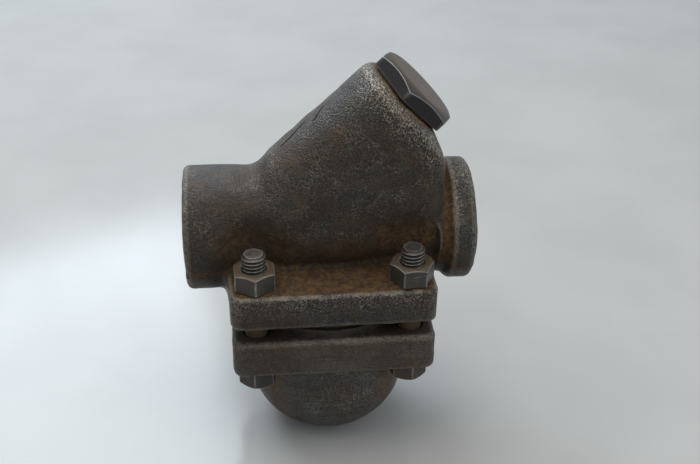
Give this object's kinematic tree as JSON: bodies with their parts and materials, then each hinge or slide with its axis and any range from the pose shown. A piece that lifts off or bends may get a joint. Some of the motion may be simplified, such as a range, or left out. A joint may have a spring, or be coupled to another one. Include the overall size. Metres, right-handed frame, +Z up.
{
  "type": "steam trap with y strainer",
  "caption": "Forged inline steam trap with a built-in Y strainer: two pipe sockets in line, a slanted branch closed by a hex cap over a screen, and a bolted round bowl below with the valve.",
  "frame": {"origin": "centre of the bowl's flat foot, under the middle of the run", "axes": "+Z up, +X along the run from the inlet to the outlet, which is also the side that the branch leans to"},
  "size_m": [0.117, 0.08, 0.1679],
  "materials": {
    "forged_steel": "dark forged skin, finely pitted, worn grey on its ridges and brown with rust in its valleys",
    "cap_steel": "dark machined hexagon with bright worn edges",
    "bolt_steel": "blackened steel, bright on the thread crests, rusty in the joint's gap",
    "nut_steel": "worn grey steel with rust at its foot",
    "stainless_screen": "perforated stainless sheet",
    "gasket_metal": "soft metal washer, stained",
    "gasket_graphite": "graphite sheet, dull",
    "valve_steel": "turned stainless steel",
    "bimetal": "rolled strip with a straw-coloured heat tint"
  },
  "bodies": {
    "trap_body": {"body": "forged_steel", "cover": "forged_steel", "cover_gasket": "gasket_graphite", "valve_seat": "valve_steel", "seat_gasket": "gasket_metal", "bolt_front_left": "bolt_steel", "bolt_front_right": "bolt_steel", "bolt_rear_left": "bolt_steel", "bolt_rear_right": "bolt_steel", "nut_front_left": "nut_steel", "nut_front_right": "nut_steel", "nut_rear_left": "nut_steel", "nut_rear_right": "nut_steel"},
    "strainer": {"strainer_screen": "stainless_screen", "cap_gasket": "gasket_metal"},
    "cap": {"strainer_cap": "cap_steel"},
    "valve": {"valve_stem": "valve_steel", "bimetal_disc_01": "bimetal", "bimetal_disc_02": "bimetal", "bimetal_disc_03": "bimetal", "bimetal_disc_04": "bimetal", "bimetal_disc_05": "bimetal", "bimetal_disc_06": "bimetal", "bimetal_disc_07": "bimetal", "bimetal_disc_08": "bimetal", "bimetal_disc_09": "bimetal", "bimetal_disc_10": "bimetal", "bimetal_disc_11": "bimetal", "bimetal_disc_12": "bimetal", "thrust_washer": "valve_steel", "adjusting_nut": "valve_steel", "lock_nut": "valve_steel"}
  },
  "joints": [
    {"name": "screen_draw", "type": "slide", "parent": "trap_body", "child": "strainer", "axis": [0.7071, 0, 0.7071], "range_m": [0, 0.012]},
    {"name": "cap_turn", "type": "hinge", "parent": "strainer", "child": "cap", "pos_m": [0.03202, 0, 0.15072], "axis": [0.7071, 0, 0.7071], "range_deg": [0, 2160]},
    {"name": "valve_lift", "type": "slide", "parent": "trap_body", "child": "valve", "axis": [0, 0, 1], "range_m": [0, 0.0015]}
  ],
  "couplings": [
    {"joint": "cap_turn", "follows": "screen_draw", "rad_per_m": 3141.6}
  ]
}
